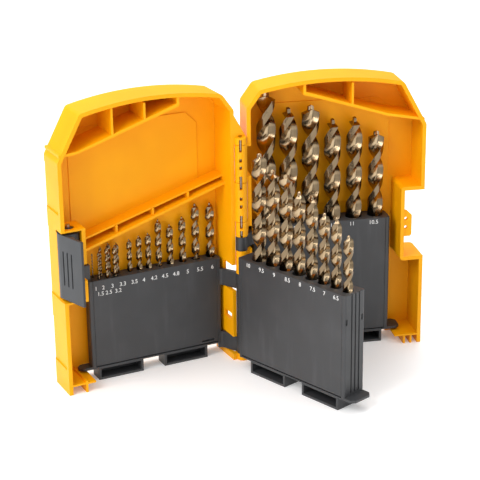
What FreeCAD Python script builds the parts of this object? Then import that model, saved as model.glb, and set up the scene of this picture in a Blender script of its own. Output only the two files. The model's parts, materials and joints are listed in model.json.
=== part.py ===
import FreeCAD, Part
import math
import os
import re

import Sketcher

# Folding drill bit case: two mirrored shells and three bit holders turn on one upright pin.
# Each piece is drawn in page coordinates: X runs from the hinge axis towards the latch,
# Y runs from the rim plane towards the back wall, Z is up from the surface it stands on.

sizes = {
    # Page directions about the hinge axis, degrees
    "left_angle": 206.1,
    "right_angle": 10.6,
    "middle_angle": -46.57,
    # Shell outline
    "shell_start": 4.4,
    "shell_end": 125.4,
    "shell_depth": 27.4,
    "wall": 2.6,
    "seam": 0.15,
    "corner_round": 4.0,
    "back_round": 3.0,
    "crown_height": 187.0,
    "shoulder_drop": 29.5,
    "shoulder_run": 16.0,
    "hinge_corner_drop": 11.5,
    "hinge_corner_run": 8.3,
    "crown_rise": 5.4,
    # Proud bands round the latch side
    "rim_flange": 3.0,
    "band_relief": 0.9,
    "foot_band_top": 17.0,
    "middle_band_low": 48.0,
    "middle_band_high": 64.0,
    "upper_band_low": 110.0,
    "upper_band_high": 123.0,
    "cap_drop": 4.5,
    # Sunken panel in the back wall
    "panel_relief": 0.6,
    "panel_low": 22.0,
    "panel_drop": 15.5,
    "panel_inset": 15.5,
    "panel_chamfer": 8.0,
    # Floor panel below the latch and its skirt ribs
    "floor_start": 106.9,
    "floor_low": 5.7,
    "floor_high": 6.9,
    "back_wall_low": 5.2,
    "skirt_rib": 1.4,
    "left_skirt_top": 8.1,
    "left_skirt_place": 113.1,
    "right_skirt_inner": 113.7,
    "right_skirt_outer": 118.4,
    # Ribs in the upper latch-side corner
    "rib": 1.8,
    "thin_rib": 1.4,
    "corner_rib_set_back": 0.5,
    "corner_rib_start": 42.0,
    "left_corner_rib_start_drop": 3.8,
    "left_corner_rib_knee": 112.0,
    "left_corner_rib_knee_drop": 25.4,
    "left_corner_rib_end_drop": 26.2,
    "left_web_inner": 66.0,
    "left_web_outer": 88.0,
    "right_corner_rib_start_drop": 4.7,
    "right_corner_rib_knee": 99.0,
    "right_corner_rib_knee_drop": 22.5,
    "right_corner_rib_end_drop": 27.3,
    "right_web_place": 75.0,
    # Retaining ladder above the small bits
    "ladder_front": 10.0,
    "ladder_upper_front": 13.5,
    "ladder_web_front": 12.0,
    "ladder_hinge_height": 123.5,
    "ladder_latch_height": 92.0,
    "ladder_hinge_rise": 4.6,
    "ladder_latch_rise": 6.4,
    "ladder_web_inner": 32.5,
    "ladder_web_middle": 57.7,
    "ladder_web_outer": 83.4,
    # Latch recess
    "recess_low": 64.4,
    "recess_high": 111.8,
    "recess_inset": 13.6,
    "recess_shelf": 1.2,
    "gate_low": 77.8,
    "gate_high": 88.9,
    "recess_block_depth": 16.9,
    "mouth_bevel": 3.2,
    # Latch lever, its pin and catch
    "heel_radius": 7.0,
    "heel_clearance": 0.3,
    "pivot_depth": 7.0,
    "latch_pin_radius": 1.5,
    "latch_pin_stand": 2.0,
    "hub_hole_radius": 3.9,
    "lever_low": 66.7,
    "lever_high": 110.2,
    "lever_reach": 22.4,
    "lever_thickness": 2.8,
    "lever_tip_thickness": 1.6,
    "lever_tip_drop": 1.5,
    "lever_crown": 1.0,
    "lever_rest_turn": 13.5,
    "hub_radius": 3.2,
    "hub_end_gap": 0.3,
    "barb_height": 1.6,
    "barb_place": 9.8,
    "barb_width": 2.0,
    "grip_low": 76.5,
    "grip_high": 99.5,
    "grip_first": 3.6,
    "grip_pitch": 4.2,
    "grip_width": 1.2,
    "grip_depth": 0.8,
    "catch_reach": 117.2,
    "catch_front": 1.0,
    "catch_thickness": 2.0,
    "catch_low": 79.0,
    "catch_high": 97.5,
    "catch_chamfer": 3.5,
    "catch_hole_radius": 1.1,
    "catch_hole_place": 113.0,
    "catch_hole_low": 85.6,
    "catch_hole_pitch": 6.2,
    # Hinge
    "knuckle_radius": 4.0,
    "knuckle_gap": 0.3,
    "hinge_pin_radius": 1.25,
    "running_clearance": 0.06,
    "hinge_pin_seat": 1.2,
    "hinge_pin_end_gap": 0.4,
    "gusset_thickness": 2.6,
    "window_width": 1.7,
    "window_reach": 4.5,
    "window_hole": 2.4,
    "knuckle_left_foot": 4.6,
    "knuckle_left_holder_low": 11.8,
    "knuckle_middle_low": 10.0,
    "knuckle_right_holder_low": 10.0,
    "knuckle_middle_high": 13.1,
    "knuckle_left_holder_high": 11.5,
    "knuckle_right_middle": 16.3,
    "knuckle_right_holder_high": 9.4,
    "knuckle_right_low_share": 0.0581,
    "knuckle_left_high_share": 0.1527,
    "knuckle_right_high_share": 0.1447,
    "knuckle_left_top_share": 0.0268,
    # Openings in the hinge wall
    "arm_gap": 0.5,
    "notch_headroom": 6.5,
    "left_notch_depth": 15.2,
    "right_notch_depth": 10.9,
    "sight_hole_front": 2.2,
    "sight_hole_back": 13.4,
    "sight_hole_low": 29.0,
    "sight_hole_high": 33.8,
    "rim_window_depth": 14.0,
    "rim_window_low": 130.0,
    "rim_window_high": 150.4,
    # Bit holders
    "holder_start": 9.2,
    "holder_end": 104.0,
    "holder_low": 8.5,
    "holder_back": 24.3,
    "left_front": 13.5,
    "left_top": 70.5,
    "right_front": 8.0,
    "right_top": 91.1,
    "middle_front": -12.45,
    "middle_back": 5.3,
    "middle_top": 79.3,
    "middle_end": 105.0,
    "end_round": 5.0,
    "edge_round": 1.2,
    "arm_thickness": 3.6,
    "middle_arm_front": 0.3,
    "arm_overlap": 2.5,
    # Feet under a holder
    "foot_start": 20.4,
    "foot_length": 31.8,
    "foot_pitch": 47.3,
    "foot_wall": 1.6,
    # Tab and lug at the free end of a holder
    "tab_reach": 8.5,
    "tab_thickness": 1.7,
    "tab_chamfer": 2.5,
    "tab_round": 3.0,
    "lug_inset": 2.4,
    "lug_reach": 2.0,
    "lug_front": 16.0,
    "lug_back": 19.5,
    "lug_drop": 3.0,
    "lug_rise": 10.7,
    # Label plates
    "plate_thickness": 1.2,
    "plate_side_margin": 3.0,
    "plate_low_margin": 1.0,
    "plate_low_gap": 0.9,
    "plate_gap": 0.15,
    "snap_width": 1.4,
    "snap_height": 4.0,
    "snap_depth": 0.8,
    "snap_drop": 19.7,
    "snap_front_inset": 0.6,
    "snap_back_inset": 1.7,
    "groove_width": 1.2,
    "groove_depth": 0.7,
    "groove_first": -6.5,
    "groove_pitch": 3.4,
    "release_slot_length": 9.0,
    "release_slot_height": 1.4,
    # Bits and their holes
    "drill_clearance": 0.15,
    "left_row_depth": 20.3,
    "left_front_row_depth": 16.3,
    "right_row_depth": 16.5,
    "middle_row_depth": -4.45,
    "left_row_start": 98.3,
    "left_row_length": 84.5,
    "middle_row_start": 21.7,
    "middle_row_length": 77.9,
    "right_row_start": 20.3,
    "right_row_length": 75.3,
    # One overrun past the surface serves every cut
    "overrun": 1.0,
}

# Heights that hang from the crown, and the upper knuckles that share the hinge's height
derived = {
    "shoulder_height": "crown_height - shoulder_drop",
    "hinge_corner_height": "crown_height - hinge_corner_drop",
    "cap_low": "max(shoulder_height - cap_drop; upper_band_high + band_relief)",
    "panel_high": "crown_height - panel_drop",
    "left_corner_rib_start_height": "crown_height - left_corner_rib_start_drop",
    "left_corner_rib_knee_height": "crown_height - left_corner_rib_knee_drop",
    "left_corner_rib_end_height": "crown_height - left_corner_rib_end_drop",
    "right_corner_rib_start_height": "crown_height - right_corner_rib_start_drop",
    "right_corner_rib_knee_height": "crown_height - right_corner_rib_knee_drop",
    "right_corner_rib_end_height": "crown_height - right_corner_rib_end_drop",
    "ladder_upper_hinge_height": "ladder_hinge_height + ladder_hinge_rise",
    "ladder_upper_latch_height": "ladder_latch_height + ladder_latch_rise",
    "knuckle_right_low": "hinge_corner_height * knuckle_right_low_share",
    "knuckle_left_high": "hinge_corner_height * knuckle_left_high_share",
    "knuckle_right_high": "hinge_corner_height * knuckle_right_high_share",
    "knuckle_left_top": "hinge_corner_height * knuckle_left_top_share",
}

# Bits: size name, diameter, overall length, flute length, height standing above the holder
bits = {
    "right": [
        ("13_0", 13.0, 160.0, 106.0, 91.0),
        ("12_5", 12.5, 151.0, 101.0, 79.4),
        ("12_0", 12.0, 151.0, 101.0, 79.8),
        ("11_5", 11.5, 142.0, 94.0, 69.7),
        ("11_0", 11.0, 142.0, 94.0, 69.9),
        ("10_5", 10.5, 133.0, 87.0, 59.2),
    ],
    "middle": [
        ("10_0", 10.0, 133.0, 87.0, 72.4),
        ("9_5", 9.5, 125.0, 81.0, 64.3),
        ("9_0", 9.0, 125.0, 81.0, 63.8),
        ("8_5", 8.5, 117.0, 75.0, 55.2),
        ("8_0", 8.0, 117.0, 75.0, 55.0),
        ("7_5", 7.5, 109.0, 69.0, 46.3),
        ("7_0", 7.0, 109.0, 69.0, 46.0),
        ("6_5", 6.5, 101.0, 63.0, 36.6),
    ],
    "left": [
        ("1_0", 1.0, 34.0, 12.0, 16.9),
        ("1_5", 1.5, 40.0, 18.0, 18.6),
        ("2_0", 2.0, 49.0, 24.0, 20.5),
        ("2_5", 2.5, 57.0, 30.0, 21.4),
        ("3_0", 3.0, 61.0, 33.0, 22.3),
        ("3_2", 3.2, 65.0, 36.0, 21.6),
        ("3_3", 3.3, 65.0, 36.0, 21.4),
        ("3_5", 3.5, 70.0, 39.0, 22.4),
        ("4_0", 4.0, 75.0, 43.0, 23.6),
        ("4_2", 4.2, 75.0, 43.0, 24.4),
        ("4_5", 4.5, 80.0, 47.0, 32.4),
        ("4_8", 4.8, 86.0, 52.0, 27.8),
        ("5_0", 5.0, 86.0, 52.0, 31.6),
        ("5_5", 5.5, 93.0, 57.0, 39.2),
        ("6_0", 6.0, 93.0, 57.0, 38.2),
    ],
}
for row in bits.values():
    for size, diameter, length, flute, stand in row:
        sizes["drill_%s_diameter" % size] = diameter
        sizes["drill_%s_length" % size] = length
        sizes["drill_%s_flute" % size] = flute
        sizes["drill_%s_stand" % size] = stand

# Places of the bits along each row
right_row_shares = (0.0, 0.2, 0.4, 0.6, 0.8, 1.0)
middle_row_shares = (0.0, 0.158, 0.311, 0.458, 0.601, 0.738, 0.870, 1.0)
left_row_shares = (
    0.0, 0.034, 0.067, 0.101, 0.134, 0.168, 0.201, 0.308,
    0.389, 0.467, 0.555, 0.652, 0.759, 0.873, 1.0,
)
left_front_row = ("1_5", "2_5", "3_2")

# Section and twist of a fluted bit, as shares of its diameter
web_share = 0.1
flute_radius_share = 0.7
twist_lead_share = 4.3
pilot_share = 0.38
pilot_low_share = 0.22
point_rise_share = 0.14
chisel_share = 0.08
chisel_drop_share = 0.06
twist_step = math.radians(30)

# Knuckles from the bottom up, each with the piece that owns it
knuckles = [
    ("left_shell", "knuckle_left_foot"),
    ("left_holder", "knuckle_left_holder_low"),
    ("middle_holder", "knuckle_middle_low"),
    ("right_holder", "knuckle_right_holder_low"),
    ("middle_holder", "knuckle_middle_high"),
    ("left_holder", "knuckle_left_holder_high"),
    ("right_shell", "knuckle_right_middle"),
    ("right_holder", "knuckle_right_holder_high"),
    ("right_shell", "knuckle_right_low"),
    ("left_shell", "knuckle_left_high"),
    ("right_shell", "knuckle_right_high"),
    ("left_shell", "knuckle_left_top"),
]

doc = FreeCAD.newDocument("DrillBitCase")
sheet = doc.addObject("Spreadsheet::Sheet", "Sizes")
named = dict(sizes)
named.update((alias, "=" + text) for alias, text in derived.items())
for row, (alias, content) in enumerate(named.items(), 1):
    sheet.set("A%d" % row, alias)
    sheet.setAlias("B%d" % row, alias)
    sheet.set("B%d" % row, str(content))
doc.recompute()

upright = FreeCAD.Vector(0, 0, 1)
pieces = []


def qualified(text):
    return re.sub(r"[a-z]\w*", lambda m: "Sizes." + m.group() if m.group() in named else m.group(), text)


def value(text):
    return float(sheet.evalExpression(qualified(text)))


def bind(item, bindings):
    for name, text in bindings.items():
        item.setExpression(name, qualified(text))


def turned(angle, axis=upright):
    return FreeCAD.Placement(FreeCAD.Vector(), FreeCAD.Rotation(axis, angle))


# A box between two page coordinates along each axis
def slab(name, along, depth, rise):
    item = doc.addObject("Part::Box", name)
    bind(item, {
        "Length": "(%s) - (%s)" % (along[1], along[0]),
        "Width": "(%s) - (%s)" % (depth[1], depth[0]),
        "Height": "(%s) - (%s)" % (rise[1], rise[0]),
        "Placement.Base.x": along[0],
        "Placement.Base.y": depth[0],
        "Placement.Base.z": rise[0],
    })
    return item


# An upright cylinder between two heights
def post(name, along, depth, rise, radius):
    item = doc.addObject("Part::Cylinder", name)
    bind(item, {
        "Radius": radius,
        "Height": "(%s) - (%s)" % (rise[1], rise[0]),
        "Placement.Base.x": along,
        "Placement.Base.y": depth,
        "Placement.Base.z": rise[0],
    })
    return item


# A closed outline whose corners are bound to the sheet; crowned names the edges that are arcs
def draw(body, name, role, corners, crowned=None):
    sketch = body.newObject("Sketcher::SketchObject", name)
    plane = [item for item in body.Origin.OriginFeatures if item.Role == role][0]
    sketch.AttachmentSupport = [(plane, "")]
    sketch.MapMode = "FlatFace"
    crowned = crowned or {}
    places = [FreeCAD.Vector(value(across), value(up), 0) for across, up in corners]
    starts = []
    for index, here in enumerate(places):
        there = places[(index + 1) % len(places)]
        if index in crowned:
            rise = value(crowned[index])
            half = (there - here).Length / 2
            radius = (half**2 + rise**2) / (2 * rise)
            side = (there - here).cross(upright).normalize()
            centre = (here + there) / 2 + side * (radius - rise)
            first = math.atan2(there.y - centre.y, there.x - centre.x)
            last = math.atan2(here.y - centre.y, here.x - centre.x)
            circle = Part.Circle(centre, upright, radius)
            sketch.addGeometry(Part.ArcOfCircle(circle, first, last), False)
            starts.append((2, 1))
        else:
            sketch.addGeometry(Part.LineSegment(here, there), False)
            starts.append((1, 2))
    for index in range(len(places)):
        following = (index + 1) % len(places)
        joint = (index, starts[index][1], following, starts[following][0])
        sketch.addConstraint(Sketcher.Constraint("Coincident", *joint))
    for index, (across, up) in enumerate(corners):
        there = places[index]
        for kind, text, number in (("DistanceX", across, there.x), ("DistanceY", up, there.y)):
            place = sketch.addConstraint(Sketcher.Constraint(kind, -1, 1, index, starts[index][0], number))
            sketch.setExpression("Constraints[%d]" % place, qualified(text))
    for index, text in crowned.items():
        place = sketch.addConstraint(Sketcher.Constraint("Radius", index, sketch.Geometry[index].Radius))
        following = corners[(index + 1) % len(corners)]
        half = "(%s - (%s))" % (following[0], corners[index][0])
        reach = "(%s - (%s))" % (following[1], corners[index][1])
        chord = "(%s^2 + %s^2)" % (half, reach)
        radius = "(%s / 4 + (%s)^2) / (2 * (%s))" % (chord, text, text)
        sketch.setExpression("Constraints[%d]" % place, qualified(radius))
    return sketch


# A prism that stands on the page: outline in along and up, extruded through depth
def plate(name, corners, depth, crowned=None):
    body = doc.addObject("PartDesign::Body", name)
    sketch = draw(body, name + "Sketch", "XZ_Plane", corners, crowned)
    bind(sketch, {"AttachmentOffset.Base.z": "-(%s)" % depth[0]})
    pad = body.newObject("PartDesign::Pad", name + "Pad")
    pad.Profile = sketch
    pad.Reversed = True
    bind(pad, {"Length": "(%s) - (%s)" % (depth[1], depth[0])})
    return body


# A prism seen from above: outline in along and depth, extruded upwards
def column(name, corners, rise, crowned=None):
    body = doc.addObject("PartDesign::Body", name)
    sketch = draw(body, name + "Sketch", "XY_Plane", corners, crowned)
    bind(sketch, {"AttachmentOffset.Base.z": rise[0]})
    pad = body.newObject("PartDesign::Pad", name + "Pad")
    pad.Profile = sketch
    bind(pad, {"Length": "(%s) - (%s)" % (rise[1], rise[0])})
    return body


# Rounds the edges of a body's last feature that the test picks
def round_edges(body, name, radius, picks):
    doc.recompute()
    last = body.Tip
    chosen = ["Edge%d" % (i + 1) for i, edge in enumerate(last.Shape.Edges) if picks(edge)]
    fillet = body.newObject("PartDesign::Fillet", name)
    fillet.Base = (last, chosen)
    bind(fillet, {"Radius": radius})
    return fillet


def upright_edge_at(along, depth):
    def picks(edge):
        first, last = edge.Vertexes[0].Point, edge.Vertexes[-1].Point
        near = abs(first.x - value(along)) < 0.001 and abs(first.y - value(depth)) < 0.001
        return near and abs(first.x - last.x) < 0.001 and abs(first.y - last.y) < 0.001
    return picks


def fused(name, items):
    item = doc.addObject("Part::MultiFuse", name)
    item.Shapes = items
    item.Refine = True
    return item


def cut(name, base, tools):
    item = doc.addObject("Part::Cut", name)
    item.Base = base
    item.Tool = tools[0] if len(tools) == 1 else fused(name + "Tools", tools)
    item.Refine = True
    return item


# Turns a finished page piece to its page; the left page is a mirror image
def finish(label, item, page):
    if page == "left":
        mirrored = doc.addObject("Part::Mirroring", item.Name + "Mirrored")
        mirrored.Source = item
        mirrored.Normal = (0, 1, 0)
        item = mirrored
    elif item.TypeId == "Part::Box":
        settled = doc.addObject("Part::Refine", item.Name + "Settled")
        settled.Source = item
        item = settled
    item.Label = label
    item.Placement = turned(value(page + "_angle"))
    bind(item, {"Placement.Rotation.Angle": page + "_angle"})
    pieces.append(item)
    return item


# Bottom and top of one knuckle in the stack
def knuckle_span(alias):
    names = [name for _, name in knuckles]
    below = names[:names.index(alias)]
    low = " + ".join(below + ["%d * knuckle_gap" % len(below)])
    return low, "%s + %s" % (low, alias)


def barrel(alias):
    return post(alias.title().replace("_", "") + "Barrel", "0", "0", knuckle_span(alias), "knuckle_radius")


def owned(owner):
    return [alias for piece, alias in knuckles if piece == owner]


def pin_bore(name):
    names = [alias for _, alias in knuckles]
    top = knuckle_span(names[-1])[1] + " + overrun"
    return post(name, "0", "0", ("hinge_pin_seat", top), "hinge_pin_radius + running_clearance")


windowed = ("knuckle_right_low", "knuckle_left_high", "knuckle_right_high", "knuckle_left_top")
window_share = 0.75


# Windows in a shell's knuckles that show the pin, all facing the same way when the case is open
def windows(owner, facing):
    cuts = []
    for alias in owned(owner):
        if alias not in windowed:
            continue
        low, high = knuckle_span(alias)
        spans = [(low + " - overrun", low + " + min(window_reach; %s * %s)" % (alias, window_share))]
        if value(alias) > value("2 * window_reach"):
            spans.append((high + " - window_reach", high + " + overrun"))
        if value(alias) > value("4 * window_reach"):
            for share in ("0.4", "0.6"):
                centre = "%s + %s * %s" % (low, share, alias)
                spans.append((centre + " - window_hole / 2", centre + " + window_hole / 2"))
        for number, (bottom, top) in enumerate(spans):
            item = doc.addObject("Part::Box", "%sWindow%d" % (alias.title().replace("_", ""), number))
            item.Placement = turned(value(facing))
            bind(item, {
                "Length": "knuckle_radius + overrun",
                "Width": "window_width",
                "Height": "(%s) - (%s)" % (top, bottom),
                "Placement.Base.x": "window_width / 2 * sin(%s)" % facing,
                "Placement.Base.y": "-window_width / 2 * cos(%s)" % facing,
                "Placement.Base.z": bottom,
                "Placement.Rotation.Angle": facing,
            })
            cuts.append(item)
    return cuts


crown_share = 0.85
recess_face = "shell_end - recess_inset"
recess_inner = recess_face + " - wall"
pivot_place = "shell_end - heel_radius"
latch_bore = "latch_pin_radius + running_clearance"


# The upper corner rib: a sloping band with a knee, and webs from it up to the top wall
def corner_rib(side, webs):
    start = side + "_corner_rib_start_height"
    knee = side + "_corner_rib_knee"
    knee_height = side + "_corner_rib_knee_height"
    end_height = side + "_corner_rib_end_height"
    depth = ("seam + corner_rib_set_back", "shell_depth - wall / 2")
    under_crown = "crown_height + crown_rise * %s - wall / 2" % crown_share
    band = [
        ("corner_rib_start", under_crown),
        ("corner_rib_start", start),
        (knee, knee_height),
        ("shell_end - wall / 2", end_height),
        ("shell_end - wall / 2", end_height + " + rib"),
        (knee, knee_height + " + rib"),
        ("corner_rib_start + rib", start + " + rib"),
        ("corner_rib_start + rib", under_crown),
    ]
    parts = [plate(side.title() + "CornerRib", band, depth)]
    for number, place in enumerate(webs):
        slope = "(%s - %s) / (%s - corner_rib_start)" % (start, knee_height, knee)
        foot = "%s + rib / 2 - (%s - corner_rib_start) * %s" % (start, place, slope)
        span = (place + " - thin_rib / 2", place + " + thin_rib / 2")
        top = "crown_height + crown_rise / 2 - wall / 2"
        parts.append(slab("%sCornerWeb%d" % (side.title(), number), span, depth, (foot, top)))
    return parts


# The retaining ladder: two sloping ribs with webs between them, over the small bits
def ladder():
    near, far = "shell_start + wall / 2", recess_inner + " + wall / 2"
    back = "shell_depth - wall / 2"
    lower = [
        (near, "ladder_hinge_height"),
        (far, "ladder_latch_height"),
        (far, "ladder_latch_height + rib"),
        (near, "ladder_hinge_height + rib"),
    ]
    upper = [
        (near, "ladder_upper_hinge_height"),
        (far, "ladder_upper_latch_height"),
        (far, "ladder_upper_latch_height + thin_rib"),
        (near, "ladder_upper_hinge_height + thin_rib"),
    ]
    parts = [plate("LadderLower", lower, ("ladder_front", back))]
    parts.append(plate("LadderUpper", upper, ("ladder_upper_front", back)))
    for number, place in enumerate(("ladder_web_inner", "ladder_web_middle", "ladder_web_outer")):
        along = "(%s - (%s)) / (%s - (%s))" % (place, near, far, near)
        foot = "ladder_hinge_height + rib / 2 - (ladder_hinge_height - ladder_latch_height) * %s" % along
        head = "ladder_upper_hinge_height + thin_rib / 2"
        head += " - (ladder_upper_hinge_height - ladder_upper_latch_height) * %s" % along
        span = (place + " - thin_rib / 2", place + " + thin_rib / 2")
        parts.append(slab("LadderWeb%d" % number, span, ("ladder_web_front", back), (foot, head)))
    return parts


def shell(side):
    title = side.title()
    notch = side + "_notch_depth"
    owner = side + "_shell"
    outline = [
        ("shell_start", "0"),
        ("shell_start", "hinge_corner_height"),
        ("shell_start + hinge_corner_run", "crown_height"),
        ("shell_end - shoulder_run", "crown_height"),
        ("shell_end", "shoulder_height"),
    ]
    if side == "right":
        outline += [
            ("shell_end", "recess_high"),
            (recess_face, "recess_high"),
            (recess_face, "recess_low"),
            ("shell_end", "recess_low"),
        ]
    outline.append(("shell_end", "0"))
    outer = plate(title + "Outer", outline, ("seam", "shell_depth"), {2: "crown_rise"})
    sketch = doc.getObject(title + "OuterSketch")
    full_depth = value("shell_depth")

    recess_start = value(recess_face)
    lowest = value("wall")

    def upper_corner(edge):
        ends = [corner.Point for corner in edge.Vertexes]
        through = abs(abs(ends[0].y - ends[-1].y) - full_depth + value("seam")) < 0.001
        return through and min(end.z for end in ends) > value("shoulder_height") - 0.001

    # The bottom edge and the recess keep sharp corners
    def on_back(edge):
        ends = [corner.Point for corner in edge.Vertexes]
        back = all(abs(end.y - full_depth) < 0.001 for end in ends)
        raised = any(end.z > lowest for end in ends)
        outside = all(abs(end.x - recess_start) > 0.001 for end in ends)
        return back and raised and outside

    round_edges(outer, title + "CornerRound", "corner_round", upper_corner)
    round_edges(outer, title + "BackRound", "back_round", on_back)

    # The hollow follows the same outline, one wall inside it
    inset = doc.addObject("Part::Offset2D", title + "Inset")
    inset.Source = sketch
    bind(inset, {"Value": "-wall"})
    hollow = doc.addObject("Part::Extrusion", title + "Hollow")
    hollow.Base = inset
    hollow.DirMode = "Custom"
    hollow.Dir = FreeCAD.Vector(0, 1, 0)
    hollow.Solid = True
    bind(hollow, {"LengthFwd": "shell_depth - wall - seam", "LengthRev": "overrun"})

    inside = ("-overrun", "shell_depth - wall")
    through = ("-overrun", "shell_depth + overrun")
    hinge_wall = ("shell_start - overrun", "shell_start + wall + overrun")
    own_arms = [knuckle_span(alias) for alias in owned(side + "_holder")]
    cuts = [hollow]
    between = ("shell_start + wall", "shell_end - wall")
    cuts.append(slab(title + "Bottom", between, inside, ("-overrun", "wall + overrun")))
    under = ("shell_start + wall", "floor_start")
    cuts.append(slab(title + "FeetGap", under, through, ("-overrun", "back_wall_low")))
    for number, (low, high) in enumerate(own_arms):
        head = " + notch_headroom" if number else " + arm_gap"
        rise = (low + " - arm_gap", high + head)
        cuts.append(slab("%sArmNotch%d" % (title, number), hinge_wall, ("-overrun", notch), rise))
    reliefs = [("foot_band_top", "middle_band_low"), ("upper_band_high", "cap_low")]
    if side == "left":
        reliefs.append(("middle_band_high", "upper_band_low"))
    for number, rise in enumerate(reliefs):
        along = ("shell_end - band_relief", "shell_end + overrun")
        cuts.append(slab("%sRelief%d" % (title, number), along, ("rim_flange", through[1]), rise))
    panel_near = "shell_start + panel_inset"
    panel_far = "shell_end - panel_inset"
    if side == "right":
        panel_far = recess_inner + " - wall"
    panel = [
        (panel_near, "panel_low"),
        (panel_near, "panel_high - panel_chamfer"),
        (panel_near + " + panel_chamfer", "panel_high"),
        (panel_far + " - panel_chamfer", "panel_high"),
        (panel_far, "panel_high - panel_chamfer"),
        (panel_far, "panel_low"),
    ]
    cuts.append(plate(title + "BackPanel", panel, ("shell_depth - panel_relief", "shell_depth + overrun")))
    if side == "left":
        sight = ("sight_hole_front", "sight_hole_back")
        cuts.append(slab("SightHole", hinge_wall, sight, ("sight_hole_low", "sight_hole_high")))
    tray = cut(title + "Tray", outer, cuts)

    # The panel shows inside the case above the holders as a low step
    step = [
        (panel_near, "right_top + panel_chamfer"),
        (panel_near, "panel_high - panel_chamfer"),
        (panel_near + " + panel_chamfer", "panel_high"),
        (panel_far + " - panel_chamfer", "panel_high"),
        (panel_far, "panel_high - panel_chamfer"),
        (panel_far, "right_top + panel_chamfer"),
    ]
    step_depth = ("shell_depth - wall - panel_relief", "shell_depth - wall / 2")
    parts = [tray, plate(title + "PanelStep", step, step_depth)]
    floor_along = ("floor_start", "shell_end - wall / 2")
    floor_depth = ("seam", "shell_depth - wall / 2")
    parts.append(slab(title + "Floor", floor_along, floor_depth, ("floor_low", "floor_high")))
    skirts = {"left": ["left_skirt_place"], "right": ["right_skirt_inner", "right_skirt_outer"]}[side]
    skirt_top = {"left": "left_skirt_top", "right": "(floor_low + floor_high) / 2"}[side]
    for number, place in enumerate(skirts):
        along = (place + " - skirt_rib / 2", place + " + skirt_rib / 2")
        parts.append(slab("%sSkirt%d" % (title, number), along, floor_depth, ("0", skirt_top)))
    webs = {"left": ["left_web_inner", "left_web_outer"], "right": ["right_web_place"]}[side]
    parts += corner_rib(side, webs)
    for alias in owned(owner):
        low, high = knuckle_span(alias)
        parts.append(barrel(alias))
        web = title + alias.title().replace("_", "") + "Web"
        parts.append(slab(web, ("0", "shell_start + wall"), ("seam", "knuckle_radius"), (low, high)))
    after = [pin_bore(title + "PinBore")]
    if side == "left":
        parts += ladder()
        low, high = knuckle_span("knuckle_left_top")
        gusset = [
            ("-knuckle_radius", low),
            ("-knuckle_radius", high),
            ("shell_start + wall / 2", "hinge_corner_height - wall / 2"),
            ("shell_start + wall / 2", low),
        ]
        parts.append(plate("Gusset", gusset, ("seam", "gusset_thickness")))
        block = (recess_inner, "shell_end - wall / 2")
        rise = ("recess_low - recess_shelf", "recess_high + recess_shelf")
        parts.append(slab("RecessBlock", block, ("seam", "recess_block_depth"), rise))
        outside = (recess_face, "shell_end + overrun")
        rise = ("recess_low", "recess_high")
        after.append(slab("RecessMouth", outside, ("-overrun", "pivot_depth"), rise))
        lip = ("shell_end - wall", "shell_end + overrun")
        after.append(slab("RecessLip", lip, ("-overrun", "pivot_depth + mouth_bevel"), rise))
        reach = "heel_radius + heel_clearance"
        after.append(post("RecessHeel", pivot_place, "pivot_depth", rise, reach))
        below = ("recess_low - recess_shelf - overrun", "recess_low + overrun")
        after.append(post("LatchPinBore", pivot_place, "pivot_depth", below, latch_bore))
        above = ("recess_high - overrun", "recess_high + recess_shelf + overrun")
        after.append(post("HubHole", pivot_place, "pivot_depth", above, "hub_hole_radius"))
        gate = (recess_inner + " - overrun", recess_face + " + overrun")
        after.append(slab("RecessGate", gate, ("-overrun", "pivot_depth"), ("gate_low", "gate_high")))
        after += windows(owner, "left_angle - 270")
    else:
        catch = [
            (recess_face + " - wall / 2", "catch_low"),
            ("catch_reach - catch_chamfer / 3", "catch_low"),
            ("catch_reach", "catch_low + catch_chamfer / 3"),
            ("catch_reach", "catch_high - catch_chamfer"),
            ("catch_reach - catch_chamfer", "catch_high"),
            (recess_face + " - wall / 2", "catch_high"),
        ]
        parts.append(plate("Catch", catch, ("catch_front", "catch_front + catch_thickness")))
        for number in range(2):
            hole = doc.addObject("Part::Cylinder", "CatchHole%d" % number)
            hole.Placement = turned(-90, FreeCAD.Vector(1, 0, 0))
            bind(hole, {
                "Radius": "catch_hole_radius",
                "Height": "catch_thickness + 2 * overrun",
                "Placement.Base.x": "catch_hole_place",
                "Placement.Base.y": "catch_front - overrun",
                "Placement.Base.z": "catch_hole_low + %d * catch_hole_pitch" % number,
            })
            after.append(hole)
        rim = ("shell_start", "shell_start + wall + overrun")
        openings = [("-overrun", "rim_window_depth", "rim_window_low", "rim_window_high")]
        openings.append(("-overrun", notch, own_arms[-1][1], own_arms[-1][1] + " + notch_headroom"))
        arm_depth = "knuckle_radius + arm_gap"
        for low, high in [knuckle_span(alias) for alias in owned("middle_holder")]:
            openings.append(("-overrun", arm_depth, low + " - knuckle_gap", high + " + knuckle_gap"))
        for number, (front, back, low, high) in enumerate(openings):
            after.append(slab("RimWindow%d" % number, rim, (front, back), (low, high)))
        after += windows(owner, "-90 - right_angle")
    return finish(owner, cut(title + "Shell", fused(title + "Joined", parts), after), side)


# The plate that carries the size marks reaches the holder's top; its seat leaves a gap below it
def label_plate(title, start, end, front, back, top):
    along = (start + " + plate_side_margin", end + " - plate_side_margin")
    return slab(title, along, (front, back), ("holder_low + plate_low_margin + plate_low_gap", top))


def plate_seat(title, start, end, front, back, top):
    along = (start + " + plate_side_margin - plate_gap", end + " - plate_side_margin + plate_gap")
    return slab(title, along, (front, back), ("holder_low + plate_low_margin", top + " + overrun"))


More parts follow.
